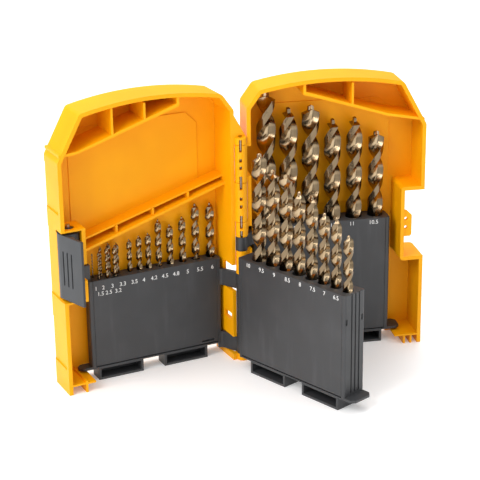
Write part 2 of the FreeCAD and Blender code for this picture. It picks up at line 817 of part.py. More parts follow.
def holder(page, start, end, front, back, top):
    title = page.title()
    owner = page + "_holder"
    corners = [(start, front), (end, front), (end, back), (start, back)]
    block = column(title + "Block", corners, ("holder_low", top))
    back_end = "edge_round" if page == "middle" else "end_round"
    round_edges(block, title + "BackEnd", back_end, upright_edge_at(end, back))
    round_edges(block, title + "FrontEnd", "edge_round", upright_edge_at(end, front))
    round_edges(block, title + "HingeEnd", "edge_round", upright_edge_at(start, front))
    parts = [block]
    cuts = []

    # Two open feet carry the holder
    for number in range(2):
        near = "foot_start + %d * foot_pitch" % number
        far = near + " + foot_length"
        low = ("0", "holder_low")
        parts.append(slab("%sFoot%d" % (title, number), (near, far), (front, back), low))
        hollow = (near + " + foot_wall", far + " - foot_wall")
        inner = (front + " - overrun", back + " - foot_wall")
        opening = ("foot_wall", "holder_low - foot_wall / 2")
        cuts.append(slab("%sFootOpening%d" % (title, number), hollow, inner, opening))

    # A tab at the free end, to swing the holder out by
    tab_back = back if page == "middle" else back + " - tab_round"
    tip = "holder_end + tab_reach"
    tab = [
        (end + " - overrun", front),
        (tip + " - tab_chamfer", front),
        (tip, front + " + tab_chamfer"),
        (tip, tab_back + " - tab_chamfer"),
        (tip + " - tab_chamfer", tab_back),
        (end + " - overrun", tab_back),
    ]
    parts.append(column(title + "Tab", tab, ("holder_low", "holder_low + tab_thickness")))
    if page == "left":
        lug = (end + " - lug_inset", end + " + lug_reach")
        rise = (top + " - lug_drop", top + " + lug_rise")
        parts.append(slab("Lug", lug, ("lug_front", "lug_back"), rise))

    # Arms run from the hinge end of the holder to its knuckles
    for number, alias in enumerate(owned(owner)):
        rise = knuckle_span(alias)
        parts.append(barrel(alias))
        if page == "middle":
            arm = ("0", start + " + arm_overlap")
            parts.append(slab("%sArm%d" % (title, number), arm, ("middle_arm_front", "knuckle_radius"), rise))
        else:
            aside = "arm_thickness / 2"
            reach = "(%s + arm_overlap)" % start
            lift = "(%s + arm_overlap + arm_thickness / 2)" % front
            length = "sqrt(%s^2 + %s^2)" % (reach, lift)
            normal = (aside + " * %s / %s" % (lift, length), aside + " * %s / %s" % (reach, length))
            arm = [
                (normal[0], "-" + normal[1]),
                (start + " - arm_gap", front + " - arm_gap"),
                (reach, front + " + arm_gap"),
                (reach + " - " + normal[0], lift + " + " + normal[1]),
                ("-" + normal[0], normal[1]),
            ]
            parts.append(column("%sArm%d" % (title, number), arm, rise))
    cuts.append(pin_bore(title + "PinBore"))

    # Seat of the label plate, and of the cover behind the middle holder
    seat = (start, end, front + " - overrun", front + " + plate_thickness", top)
    cuts.append(plate_seat(title + "Seat", *seat))
    if page == "middle":
        seat = (start, end, back + " - plate_thickness", back + " + overrun", top)
        cuts.append(plate_seat("MiddleRearSeat", *seat))
        grooved = (end + " - groove_depth", end + " + overrun")
        rise = ("holder_low + 2 * tab_thickness", top + " + overrun")
        for number in range(3):
            centre = "groove_first + %d * groove_pitch" % number
            groove = (centre + " - groove_width / 2", centre + " + groove_width / 2")
            cuts.append(slab("EndGroove%d" % number, grooved, groove, rise))
        slotted = (end + " - snap_depth", end + " + overrun")
        rise = (top + " - snap_drop", top + " - snap_drop + snap_height")
        inset = (front + " + snap_front_inset", back + " - snap_back_inset - snap_width")
        for number, depth in enumerate(inset):
            cuts.append(slab("SnapSlot%d" % number, slotted, (depth, depth + " + snap_width"), rise))
    return parts, cuts


# One twist bit standing on its shank, its faces sewn from shank, flutes and point
def twist_bit(size):
    diameter = sheet.get("drill_%s_diameter" % size)
    length = sheet.get("drill_%s_length" % size)
    flute = sheet.get("drill_%s_flute" % size)
    radius = diameter / 2
    scoop = flute_radius_share * diameter
    offset = web_share * diameter + scoop
    spread = math.acos((radius**2 + offset**2 - scoop**2) / (2 * offset * radius))
    base = length - flute
    pilot = length - pilot_low_share * diameter
    rise = pilot - point_rise_share * diameter - base
    twist = 2 * math.pi * rise / (twist_lead_share * diameter)
    steps = math.ceil(twist / twist_step)

    # Two flute arcs and two land arcs; a full round when the flute depth is the radius
    def arcs(height, turn, depth, share=1):
        def place(reach, angle):
            across = share * reach * math.cos(angle + turn)
            return FreeCAD.Vector(across, share * reach * math.sin(angle + turn), height)
        edges = []
        for side in (0, math.pi):
            flute_arc = (place(radius, side - spread), place(depth, side), place(radius, side + spread))
            middle = place(radius, side + math.pi / 2)
            land_arc = (place(radius, side + spread), middle, place(radius, side + math.pi - spread))
            edges += [Part.Arc(*flute_arc).toShape(), Part.Arc(*land_arc).toShape()]
        return edges

    faces = [edge.extrude(upright * base) for edge in arcs(0, 0, radius)]
    faces.append(Part.Face(Part.Wire(arcs(0, 0, radius))))
    shoulder, foot = arcs(base, 0, radius), arcs(base, 0, offset - scoop)
    faces += [Part.Face(Part.Wire([shoulder[side], foot[side]])) for side in (0, 2)]
    levels = [i / steps for i in range(steps + 1)]
    sections = [Part.Wire(arcs(base + rise * i, twist * i, offset - scoop)) for i in levels]
    faces += Part.makeLoft(sections, False, False).Faces
    drop = chisel_drop_share * diameter
    tips = [(pilot, pilot_share), (length - drop, pilot_share), (length, chisel_share)]
    tips = [Part.Wire(arcs(height, twist, offset - scoop, share)) for height, share in tips]
    for low, high in zip([sections[-1]] + tips, tips):
        faces += Part.makeLoft([low, high], False, True).Faces
    faces.append(Part.Face(tips[-1]))
    skin = Part.makeShell(faces)
    skin.sewShape()
    solid = Part.makeSolid(skin)
    if solid.Volume < 0:
        solid.reverse()
    return solid


def place_bits(page, shares, top):
    holes = []
    mirror = -1 if page == "left" else 1
    turn = FreeCAD.Rotation(upright, value(page + "_angle"))
    for (size, _, _, _, _), share in zip(bits[page], shares):
        direction = "-" if page == "left" else "+"
        along = "%s_row_start %s %s * %s_row_length" % (page, direction, share, page)
        depth = page + ("_front_row_depth" if size in left_front_row else "_row_depth")
        low = "%s + drill_%s_stand - drill_%s_length" % (top, size, size)
        radius = "drill_%s_diameter / 2 + drill_clearance" % size
        holes.append(post("Hole%s" % size, along, depth, (low, top + " + overrun"), radius))
        item = doc.addObject("Part::Feature", "Drill%s" % size)
        item.Label = "drill_" + size
        item.Shape = twist_bit(size)
        spot = FreeCAD.Vector(value(along), mirror * value(depth), value(low))
        item.Placement = FreeCAD.Placement(turn.multVec(spot), turn)
        pieces.append(item)
    return holes


shell("left")
shell("right")

# Page, free end, front, back, top, places of its bits
pages = [
    ("left", "holder_end", "left_front", "holder_back", "left_top", left_row_shares),
    ("middle", "middle_end", "middle_front", "middle_back", "middle_top", middle_row_shares),
    ("right", "holder_end", "right_front", "holder_back", "right_top", right_row_shares),
]
start = "holder_start"
for page, end, front, back, top, shares in pages:
    title = page.title()
    parts, cuts = holder(page, start, end, front, back, top)
    cuts += place_bits(page, shares, top)
    finish(page + "_holder", cut(title + "Holder", fused(title + "HolderParts", parts), cuts), page)
    cover = label_plate(title + "Plate", start, end, front, front + " + plate_thickness", top)
    if page != "middle":
        near = start + " + 2 * plate_side_margin"
        depth = (front + " - overrun", front + " + plate_thickness + overrun")
        low = "holder_low + 3 * plate_low_margin"
        rise = (low, low + " + release_slot_height")
        slot = slab(title + "PlateSlot", (near, near + " + release_slot_length"), depth, rise)
        cover = cut(title + "LabelPlate", cover, [slot])
    finish(page + "_label_plate", cover, page)
rear = (start, "middle_end", "middle_back - plate_thickness", "middle_back", "middle_top")
finish("middle_rear_plate", label_plate("MiddleRearPlate", *rear), "middle")

# Hinge pin through every knuckle
top_knuckle = knuckle_span("knuckle_left_top")[1]
pin_rise = ("hinge_pin_seat + knuckle_gap", top_knuckle + " - hinge_pin_end_gap")
hinge_pin = post("HingePin", "0", "0", pin_rise, "hinge_pin_radius")
hinge_pin.Label = "hinge_pin"
pieces.append(hinge_pin)

# Latch pin and lever stand in the left page, the lever turned to where it hangs when open
pivot_x = "(%s) * cos(left_angle) + pivot_depth * sin(left_angle)" % pivot_place
pivot_y = "(%s) * sin(left_angle) - pivot_depth * cos(left_angle)" % pivot_place
pin_rise = ("recess_low - recess_shelf", "recess_high + recess_shelf + latch_pin_stand")
latch_pin = post("LatchPin", pivot_x, pivot_y, pin_rise, "latch_pin_radius")
latch_pin.Label = "latch_pin"
pieces.append(latch_pin)

inner_face = "heel_radius - lever_thickness"
tip_face = "heel_radius - lever_tip_drop"
profile = [
    (tip_face + " - lever_tip_thickness", "-lever_reach"),
    (tip_face, "-lever_reach"),
    ("heel_radius", "0"),
    (inner_face, "0"),
]
lever_rise = ("lever_low", "lever_high")
lever_plate = column("LeverPlate", profile, lever_rise)
heel = post("LeverHeel", "0", "0", lever_rise, "heel_radius")
hub_rise = ("recess_low + hub_end_gap", "recess_high + recess_shelf - hub_end_gap")
hub = post("LeverHub", "0", "0", hub_rise, "hub_radius")
barb_depth = (inner_face + " - barb_height", inner_face + " + lever_thickness / 2")
barb = slab("LeverBarb", barb_depth, ("-barb_place - barb_width", "-barb_place"), lever_rise)
bore_rise = ("recess_low", "recess_high + recess_shelf")
lever_cuts = [post("LeverBore", "0", "0", bore_rise, latch_bore)]
for number in range(3):
    slope = "lever_tip_drop / lever_reach"
    foot = "heel_radius - %s * %d * grip_pitch - grip_depth" % (slope, number + 1)
    centre = "-grip_first - %d * grip_pitch" % number
    across = (centre + " - grip_width / 2", centre + " + grip_width / 2")
    grip = slab("Grip%d" % number, (foot, "heel_radius + overrun"), across, ("grip_low", "grip_high"))
    lever_cuts.append(grip)
lever = cut("Lever", fused("LeverParts", [lever_plate, heel, hub, barb]), lever_cuts)
mirrored_lever = doc.addObject("Part::Mirroring", "LatchLever")
mirrored_lever.Source = lever
mirrored_lever.Normal = (0, 1, 0)
mirrored_lever.Label = "latch_lever"
mirrored_lever.Placement = turned(value("left_angle + lever_rest_turn"))
bind(mirrored_lever, {
    "Placement.Base.x": pivot_x,
    "Placement.Base.y": pivot_y,
    "Placement.Rotation.Angle": "left_angle + lever_rest_turn",
})
pieces.append(mirrored_lever)

doc.recompute()
for item in doc.Objects:
    if "Invalid" in item.State or "Error" in item.State:
        raise RuntimeError("%s did not build" % item.Name)
os.makedirs("parts", exist_ok=True)
for item in pieces:
    if item.Shape.isNull() or not item.Shape.isValid() or len(item.Shape.Solids) != 1:
        raise RuntimeError("%s is not one valid solid: %d" % (item.Label, len(item.Shape.Solids)))
for item in pieces:
    item.Shape.exportStep("parts/%s.step" % item.Label)
print("%d pieces written" % len(pieces))
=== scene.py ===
import json
import math

import bmesh
import bpy
from mathutils import Matrix, Vector


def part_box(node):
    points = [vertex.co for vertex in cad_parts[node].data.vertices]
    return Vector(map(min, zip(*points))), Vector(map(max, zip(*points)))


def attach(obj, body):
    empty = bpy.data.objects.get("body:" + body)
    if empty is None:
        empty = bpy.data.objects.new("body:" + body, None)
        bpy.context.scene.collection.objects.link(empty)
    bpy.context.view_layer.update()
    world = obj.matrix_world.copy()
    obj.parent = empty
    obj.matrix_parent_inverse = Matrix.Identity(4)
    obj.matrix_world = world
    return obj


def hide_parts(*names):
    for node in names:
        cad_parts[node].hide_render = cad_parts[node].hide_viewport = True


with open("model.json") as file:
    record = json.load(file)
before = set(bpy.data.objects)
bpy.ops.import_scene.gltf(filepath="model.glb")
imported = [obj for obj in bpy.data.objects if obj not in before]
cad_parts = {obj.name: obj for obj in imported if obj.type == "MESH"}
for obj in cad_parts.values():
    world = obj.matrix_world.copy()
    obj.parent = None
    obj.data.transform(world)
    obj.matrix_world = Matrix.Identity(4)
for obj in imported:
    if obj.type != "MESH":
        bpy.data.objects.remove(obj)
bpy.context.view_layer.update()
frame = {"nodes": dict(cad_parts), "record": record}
nodes = frame["nodes"]
print("frame loaded:", len(nodes), "nodes")

perMetre = 1000  # the size marks' places and the bits' sizes are written in millimetres

# Page directions seen from above: the left shell is the mirror image of the right one
pages = {
    "left": {"turn": 206.1, "hand": -1},
    "middle": {"turn": -46.57, "hand": 1},
    "right": {"turn": 10.6, "hand": 1},
}


def pageTurn(page):
    return Matrix.Rotation(math.radians(pages[page]["turn"]), 3, "Z")


# A place given along a page, into its depth and up, in millimetres, in the shared frame
def onPage(page, along, depth, up):
    return pageTurn(page) @ Vector((along, pages[page]["hand"] * depth, up)) / perMetre


# One node: its settings first, then the values or links of its sockets; gives the named output
def addNode(tree, kind, settings=None, inputs=None, output=0):
    node = tree.nodes.new(kind)
    for name, setting in (settings or {}).items():
        setattr(node, name, setting)
    for name, value in (inputs or {}).items():
        socket = node.inputs[name]
        if isinstance(value, Wire):
            tree.links.new(value.end, socket)
        else:
            socket.default_value = value
    return Wire(tree, node.outputs[output])


def mathNode(tree, operation, *values):
    return addNode(tree, "ShaderNodeMath", {"operation": operation}, dict(enumerate(values)))


# A socket whose sums are written as Python's own
class Wire:
    def __init__(self, tree, end):
        self.tree = tree
        self.end = end

    # A Math node on this value and then the others
    def math(self, operation, *others):
        return mathNode(self.tree, operation, self, *others)

    def __add__(self, other):
        return self.math("ADD", other)

    def __radd__(self, other):
        return mathNode(self.tree, "ADD", other, self)

    def __sub__(self, other):
        return self.math("SUBTRACT", other)

    def __rsub__(self, other):
        return mathNode(self.tree, "SUBTRACT", other, self)

    def __mul__(self, other):
        return self.math("MULTIPLY", other)

    def __rmul__(self, other):
        return mathNode(self.tree, "MULTIPLY", other, self)

    def __truediv__(self, other):
        return self.math("DIVIDE", other)

    def __gt__(self, other):
        return self.math("GREATER_THAN", other)

    def __lt__(self, other):
        return self.math("LESS_THAN", other)

    def clamped(self):
        return self.math("MINIMUM", 1).math("MAXIMUM", 0)

    # 0 below low, 1 above high, eased between
    def eased(self, low, high):
        inputs = {"Value": self, "From Min": low, "From Max": high}
        return addNode(self.tree, "ShaderNodeMapRange", {"interpolation_type": "SMOOTHSTEP"}, inputs)


# A vector's X, Y and Z
def splitUp(tree, vector):
    first = addNode(tree, "ShaderNodeSeparateXYZ", inputs={0: vector})
    return [Wire(tree, end) for end in first.end.node.outputs]


# Colour written as on a screen, turned to linear light by the sRGB curve
def ink(red, green, blue):
    def linear(c):
        return c / 12.92 if c <= 0.04045 else ((c + 0.055) / 1.055) ** 2.4
    return (linear(red / 255), linear(green / 255), linear(blue / 255), 1.0)


# The Mix node's colours are its sockets 6 and 7, and its output 2
def mixed(tree, share, first, second):
    return addNode(tree, "ShaderNodeMix", {"data_type": "RGBA"}, {0: share, 6: first, 7: second}, 2)


def newMaterial(name, constants):
    material = bpy.data.materials.new(name)
    material.use_nodes = True
    tree = material.node_tree
    surface = tree.nodes["Principled BSDF"]
    for socket, value in constants.items():
        surface.inputs[socket].default_value = value
    return material, tree, surface


# What changes over a surface, to the shader's sockets
def feed(shader, wires):
    for socket, wire in wires.items():
        wire.tree.links.new(wire.end, shader.inputs[socket])


def place(tree):
    return addNode(tree, "ShaderNodeTexCoord", output="Object")


def stretched(tree, scale):
    return addNode(tree, "ShaderNodeMapping", inputs={"Vector": place(tree), "Scale": scale})


# The size is that of one patch, in metres
def noise(tree, where, size, detail=2.0, roughness=0.5):
    inputs = {"Vector": where, "Scale": 1 / size, "Detail": detail, "Roughness": roughness}
    return addNode(tree, "ShaderNodeTexNoise", inputs=inputs)


def bumped(tree, height, distance, more=None):
    inputs = {"Height": height, "Distance": distance, **(more or {})}
    return addNode(tree, "ShaderNodeBump", inputs=inputs, output="Normal")


# Rounded edges and surface grain in one normal
def dressed(tree, grain, look):
    settings = {"samples": look["edgeSamples"]}
    rounded = addNode(tree, "ShaderNodeBevel", settings, {"Radius": look["edge"]}, "Normal")
    return bumped(tree, grain, look["grainHeight"], {"Normal": rounded})


# Fine rings round an upright piece, as a lathe leaves them
def latheRings(tree, look):
    squeeze = look["ringSqueeze"]
    return noise(tree, stretched(tree, (squeeze, squeeze, 1)), look["rings"])


# Moulded yellow plastic of the shells: soft clouds of colour, fine grain and dull scuffs
shellFinish = {
    "colour": ink(250, 174, 0),
    "deep": ink(240, 158, 0),
    "ior": 1.5,
    "specular": 0.22,
    "cloud": 0.035,
    "cloudBand": (0.3, 0.7),
    "cloudShare": 0.5,
    "scuff": 0.004,
    "scuffBand": (0.6, 0.8),
    "scuffDetail": {"detail": 4.0, "roughness": 0.7},
    "roughness": 0.42,
    "grainRoughness": 0.08,
    "scuffRoughness": 0.05,
    "cloudRoughness": 0.04,
    "grain": 0.00035,
    "grainDetail": 3.0,
    "grainHeight": 0.00001,
    "edge": 0.00045,
    "edgeSamples": 6,
}


def makeShellPlastic(look):
    constants = {"IOR": look["ior"], "Specular IOR Level": look["specular"]}
    material, tree, surface = newMaterial("yellowShellPlastic", constants)
    where = place(tree)
    cloud = noise(tree, where, look["cloud"])
    grain = noise(tree, where, look["grain"], look["grainDetail"])
    scuff = noise(tree, where, look["scuff"], **look["scuffDetail"]).eased(*look["scuffBand"])
    deepShare = cloud.eased(*look["cloudBand"]) * look["cloudShare"]
    rough = (look["roughness"] + look["grainRoughness"] * grain
             + look["scuffRoughness"] * scuff + look["cloudRoughness"] * cloud)
    feed(surface, {
        "Base Color": mixed(tree, deepShare, look["colour"], look["deep"]),
        "Roughness": rough,
        "Normal": dressed(tree, grain, look),
    })
    return material


# Black plastic of the holders: upright flow marks, lighter where it is worn
holderFinish = {
    "colour": ink(52, 53, 55),
    "worn": ink(74, 75, 77),
    "ior": 1.5,
    "cloud": 0.02,
    "cloudBand": (0.4, 0.8),
    "cloudShare": 0.25,
    "flow": 0.006,
    "flowDetail": 3.0,
    "flowSqueeze": 0.12,
    "flowBand": (0.55, 0.8),
    "flowShare": 0.35,
    "roughness": 0.42,
    "grainRoughness": 0.12,
    "flowPolish": 0.05,
    "grain": 0.0003,
    "grainDetail": 3.0,
    "grainHeight": 0.000012,
    "edge": 0.0005,
    "edgeSamples": 6,
}
latchFinish = dict(holderFinish, colour=ink(52, 54, 57), worn=ink(74, 77, 80))


def makeBlackPlastic(name, look):
    material, tree, surface = newMaterial(name, {"IOR": look["ior"]})
    where = place(tree)
    cloud = noise(tree, where, look["cloud"])
    grain = noise(tree, where, look["grain"], look["grainDetail"])
    flow = noise(tree, stretched(tree, (1, 1, look["flowSqueeze"])), look["flow"], look["flowDetail"])
    flowWorn = flow.eased(*look["flowBand"]) * look["flowShare"]
    cloudWorn = cloud.eased(*look["cloudBand"]) * look["cloudShare"]
    feed(surface, {
        "Base Color": mixed(tree, flowWorn + cloudWorn, look["colour"], look["worn"]),
        "Roughness": look["roughness"] + look["grainRoughness"] * grain - look["flowPolish"] * flow,
        "Normal": dressed(tree, grain, look),
    })
    return material


# Tempered steel of the bits: grinding lines along the flutes and lathe rings on lands and shank. The flutes
# are coloured lighter, a painted highlight, and the lands darker, a painted dark reflection
bitFinish = {
    # land: darker colour, painted shade of a dark reflection; flute: lighter colour, painted highlight;
    # tint: random tone of the steel
    "land": ink(130, 112, 88),
    "flute": ink(182, 160, 128),
    "tint": ink(152, 128, 96),
    "cloud": 0.006,
    "cloudBand": (0.35, 0.65),
    "cloudShare": 0.6,
    "lines": 0.02,  # a share of the way round
    "lineWander": 0.02,
    "rings": 0.00025,
    "ringSqueeze": 0.02,
    "roughness": 0.14,
    "lineRoughness": 0.12,
    "ringRoughness": 0.08,
    "ringShare": 0.5,
    "height": 0.000003,
}


def makeBitSteel(look):
    material, tree, surface = newMaterial("temperedBitSteel", {"Metallic": 1.0})
    land = addNode(tree, "ShaderNodeAttribute", {"attribute_name": "land"}, output="Fac")
    across = addNode(tree, "ShaderNodeAttribute", {"attribute_name": "across"}, output="Fac")
    cloud = noise(tree, place(tree), look["cloud"])
    wandering = {"X": across, "Y": cloud * look["lineWander"]}
    lines = noise(tree, addNode(tree, "ShaderNodeCombineXYZ", inputs=wandering), look["lines"])
    rings = latheRings(tree, look)
    tintShare = cloud.eased(*look["cloudBand"]) * look["cloudShare"]
    # The flute colour with its painted highlight, broken by random clouds of tint
    paintedHighlightFlute = mixed(tree, tintShare, look["flute"], look["tint"])
    height = lines * (1 - land) + rings * land * look["ringShare"]
    rough = look["roughness"] + look["lineRoughness"] * lines + look["ringRoughness"] * rings * land
    feed(surface, {
        # Lands take the darker painted-shade colour, flutes the lighter painted-highlight colour
        "Base Color": mixed(tree, land, paintedHighlightFlute, look["land"]),
        "Roughness": rough,
        "Normal": bumped(tree, height, look["height"]),
    })
    return material


# Turned steel of the hinge pin and the latch pin
pinFinish = {
    "dark": ink(150, 150, 152),
    "light": ink(200, 200, 202),
    "rings": 0.0003,
    "ringSqueeze": 0.02,
    "roughness": 0.25,
    "ringRoughness": 0.15,
    "height": 0.00001,
}


def makePinSteel(look):
    material, tree, surface = newMaterial("turnedPinSteel", {"Metallic": 1.0})
    rings = latheRings(tree, look)
    feed(surface, {
        "Base Color": mixed(tree, rings, look["dark"], look["light"]),
        "Roughness": look["roughness"] + look["ringRoughness"] * rings,
        "Normal": bumped(tree, rings, look["height"]),
    })
    return material


# White ink of the size marks, thin in places
markFinish = {
    "colour": ink(236, 236, 234),
    "thin": ink(205, 206, 206),
    "ior": 1.45,
    "speck": 0.0004,
    "speckDetail": 3.0,
    "speckBand": (0.45, 0.8),
    "roughness": 0.5,
    "speckRoughness": 0.2,
}


def makeMarkInk(look):
    material, tree, surface = newMaterial("whiteMarkInk", {"IOR": look["ior"]})
    speck = noise(tree, place(tree), look["speck"], look["speckDetail"])
    feed(surface, {
        "Base Color": mixed(tree, speck.eased(*look["speckBand"]), look["colour"], look["thin"]),
        "Roughness": look["roughness"] + look["speckRoughness"] * speck,
    })
    return material


shellPlastic = makeShellPlastic(shellFinish)
holderPlastic = makeBlackPlastic("blackHolderPlastic", holderFinish)
latchPlastic = makeBlackPlastic("greyLatchPlastic", latchFinish)
bitSteel = makeBitSteel(bitFinish)
pinSteel = makePinSteel(pinFinish)
markInk = makeMarkInk(markFinish)

for name, node in nodes.items():
    if name.endswith("_shell"):
        finish = shellPlastic
    elif name.startswith("drill_"):
        finish = bitSteel
    elif name.endswith("_pin"):
        finish = pinSteel
    elif name == "latch_lever":
        finish = latchPlastic
    else:
        finish = holderPlastic
    node.data.materials.clear()
    node.data.materials.append(finish)
print("materials made")

# Twist bits: steps round half a bit and rings up it, then shares of the diameter unless noted
bits = {
    "fluteSteps": 12,
    "landSteps": 8,
    "ringsPerTurn": 30,
    "footRings": 3,
    "tipRings": 8,
    "lead": 4.3,
    "web": 0.1,
    "scoop": 0.7,
    "relief": 0.035,  # of the radius
    "reliefBand": (0.2, 0.9),  # of the land
    "slope": 0.45,  # of the point's cone, fall per reach
    "pilot": 0.38,
    "pilotRise": 0.22,
    "pilotTaper": 0.08,  # of the pilot's radius
    "coneShare": 0.5,  # of the tip's rings
    "wallShare": 0.125,  # of the tip's rings, for the pilot's wall
    "footShare": 0.9,  # of the radius, inside the foot's chamfer
    "chamfer": 0.08,
    "runOut": 1.1,
    "nudge": 0.01,  # keeps whole numbers clear of rounding
    "weld": 0.0000005,  # metres
    "creaseAngle": 35,  # degrees
}


# The grid's columns go round the bit and its rows go up it; both are bent into the fluted form
def bitTree(b, material):
    tree = bpy.data.node_groups.new("twistBit", "GeometryNodeTree")
    tree.interface.new_socket("Geometry", in_out="OUTPUT", socket_type="NodeSocketGeometry")
    for name in ("Diameter", "Length", "Flute Length", "Turn"):
        tree.interface.new_socket(name, in_out="INPUT", socket_type="NodeSocketFloat")
    tree.interface.new_socket("Rings", in_out="INPUT", socket_type="NodeSocketInt")
    tree.interface.new_socket("Foot", in_out="INPUT", socket_type="NodeSocketVector")
    entry = tree.nodes.new("NodeGroupInput")
    given = {socket.name: Wire(tree, socket) for socket in entry.outputs if socket.name}
    diameter, length, rings = given["Diameter"], given["Length"], given["Rings"]
    radius = diameter / 2
    half = b["fluteSteps"] + b["landSteps"]
    columns = 2 * half
    grid = addNode(tree, "GeometryNodeMeshGrid", inputs={"Vertices X": columns + 1, "Vertices Y": rings})

    # Column and ring of each point: the grid is one metre wide and centred
    x, y = splitUp(tree, addNode(tree, "GeometryNodeInputPosition"))[:2]
    column = ((x + 0.5) * columns).math("ROUND")
    ring = ((y + 0.5) * (rings - 1)).math("ROUND")

    # Round the bit: flute steps, then land steps, on each side; the scoop is a circle beside the web
    side = ((column + b["nudge"]) / half).math("FLOOR")
    inHalf = column - side * half
    edge = 0.5
    offset = b["web"] + b["scoop"]
    spread = math.acos((edge**2 + offset**2 - b["scoop"] ** 2) / (2 * edge * offset))
    inFlute = inHalf.math("MINIMUM", b["fluteSteps"]) / b["fluteSteps"]
    inLand = (inHalf - b["fluteSteps"]).math("MAXIMUM", 0) / b["landSteps"]
    around = inFlute * (2 * spread) - spread + inLand * (math.pi - 2 * spread)
    sine = around.math("SINE")
    under = b["scoop"] ** 2 - offset**2 * sine * sine
    scooped = (offset * around.math("COSINE") - under.clamped().math("SQRT")) * diameter
    reliefLow, reliefHigh = b["reliefBand"]
    cleared = radius * (1 - b["relief"] * ((inLand > reliefLow) * (inLand < reliefHigh)))
    onLand = inHalf > b["fluteSteps"] - b["nudge"]
    profile = onLand * cleared + (1 - onLand) * scooped.math("MINIMUM", radius)

    # Up the bit: foot, body, then rings that close over the cone, the pilot's wall and its point
    bodyRings = rings - b["footRings"] - b["tipRings"]
    aboveFoot = ring - (b["footRings"] - 1)
    rise = (aboveFoot / bodyRings).clamped()
    closing = ((aboveFoot - bodyRings) / b["tipRings"]).clamped()
    pointStart = b["coneShare"] + b["wallShare"]
    cone = (closing / b["coneShare"]).clamped()
    wall = ((closing - b["coneShare"]) / b["wallShare"]).clamped()
    point = ((closing - pointStart) / (1 - pointStart)).clamped()
    opening = (ring * b["footShare"]).clamped()
    share = opening * (1 - cone * (1 - b["pilot"])) * (1 - b["pilotTaper"] * wall) * (1 - point)
    chamfer = diameter * b["chamfer"] * (ring - 1).clamped()
    pilotRise = diameter * b["pilotRise"]
    coneTop = length - pilotRise - profile * b["slope"]
    fluted = (coneTop * rise - length + given["Flute Length"]) / diameter
    depth = fluted.eased(0, b["runOut"])
    reach = (radius + (profile - radius) * depth) * share
    isTip = closing > b["nudge"]
    tipHeight = length - pilotRise * (1 - wall) - reach * b["slope"]
    bodyHeight = chamfer + (coneTop - chamfer) * rise
    height = isTip * tipHeight + (1 - isTip) * bodyHeight

    # Twist, measured down from the point
    below = (1 - isTip) * height + isTip * coneTop - length
    twist = below / (diameter * b["lead"]) * (2 * math.pi)
    angle = around + side * math.pi + twist + given["Turn"]
    spot = {"X": reach * angle.math("COSINE"), "Y": reach * angle.math("SINE"), "Z": height}
    ends = {0: addNode(tree, "ShaderNodeCombineXYZ", inputs=spot), 1: given["Foot"]}
    placed = addNode(tree, "ShaderNodeVectorMath", {"operation": "ADD"}, ends)

    # Places for the finish to follow, then the bent grid, closed and shaded
    marked = grid
    for name, value in {"land": 1 - (1 - onLand) * depth, "across": inHalf / half}.items():
        inputs = {"Geometry": marked, "Name": name, "Value": value}
        settings = {"data_type": "FLOAT", "domain": "POINT"}
        marked = addNode(tree, "GeometryNodeStoreNamedAttribute", settings, inputs)
    bent = addNode(tree, "GeometryNodeSetPosition", inputs={"Geometry": marked, "Position": placed})
    welding = {"Geometry": bent, "Distance": b["weld"]}
    welded = addNode(tree, "GeometryNodeMergeByDistance", inputs=welding)
    faceAngle = addNode(tree, "GeometryNodeInputMeshEdgeAngle", output="Unsigned Angle")
    smoothing = {"Geometry": welded, "Shade Smooth": True}
    smooth = addNode(tree, "GeometryNodeSetShadeSmooth", {"domain": "FACE"}, smoothing)
    isCrease = faceAngle > math.radians(b["creaseAngle"])
    creasing = {"Geometry": smooth, "Selection": isCrease, "Shade Smooth": False}
    crisp = addNode(tree, "GeometryNodeSetShadeSmooth", {"domain": "EDGE"}, creasing)
    real = addNode(tree, "GeometryNodeRealizeInstances", inputs={"Geometry": crisp})
    coated = addNode(tree, "GeometryNodeSetMaterial", inputs={"Geometry": real, "Material": material})
    leave = tree.nodes.new("NodeGroupOutput")
    tree.links.new(coated.end, leave.inputs[0])
    return tree


# An object's evaluated shape as a mesh of its own
def evaluatedMesh(thing):
    bpy.context.view_layer.update()
    shaped = thing.evaluated_get(bpy.context.evaluated_depsgraph_get())
    return bpy.data.meshes.new_from_object(shaped)


def addObject(name, data):
    thing = bpy.data.objects.new(name, data)
    bpy.context.scene.collection.objects.link(thing)
    return thing


# A modifier's result as a plain mesh object
def settled(name, tree, values):
    carrier = addObject(name + "Carrier", bpy.data.meshes.new(name + "Carrier"))
    modifier = carrier.modifiers.new("build", "NODES")
    modifier.node_group = tree
    keys = {item.name: item.identifier for item in tree.interface.items_tree if item.in_out == "INPUT"}
    for key, value in values.items():
        modifier[keys[key]] = value
    mesh = evaluatedMesh(carrier)
    bpy.data.objects.remove(carrier)
    return addObject(name, mesh)


bodies = frame["record"]["behaviour"]["bodies"]
bodyOf = {node: body for body, members in bodies.items() for node in members}

# Flute length of each size, millimetres
fluteLengths = {
    "13_0": 106, "12_5": 101, "12_0": 101, "11_5": 94, "11_0": 94, "10_5": 87,
    "10_0": 87, "9_5": 81, "9_0": 81, "8_5": 75, "8_0": 75, "7_5": 69, "7_0": 69, "6_5": 63,
    "6_0": 57, "5_5": 57, "5_0": 52, "4_8": 52, "4_5": 47, "4_2": 43, "4_0": 43, "3_5": 39,
    "3_3": 36, "3_2": 36, "3_0": 33, "2_5": 30, "2_0": 24, "1_5": 18, "1_0": 12,
}
# Directions in which the points of the large bits face, degrees; the small ones share one
pointTurns = {
    "13_0": 104, "12_5": 54, "12_0": 154, "11_5": 54, "11_0": 54, "10_5": 154,
    "10_0": 0, "9_5": 82, "9_0": 111, "8_5": 28, "8_0": 60, "7_5": 20, "7_0": 40, "6_5": 10,
}
smallTurn = 40

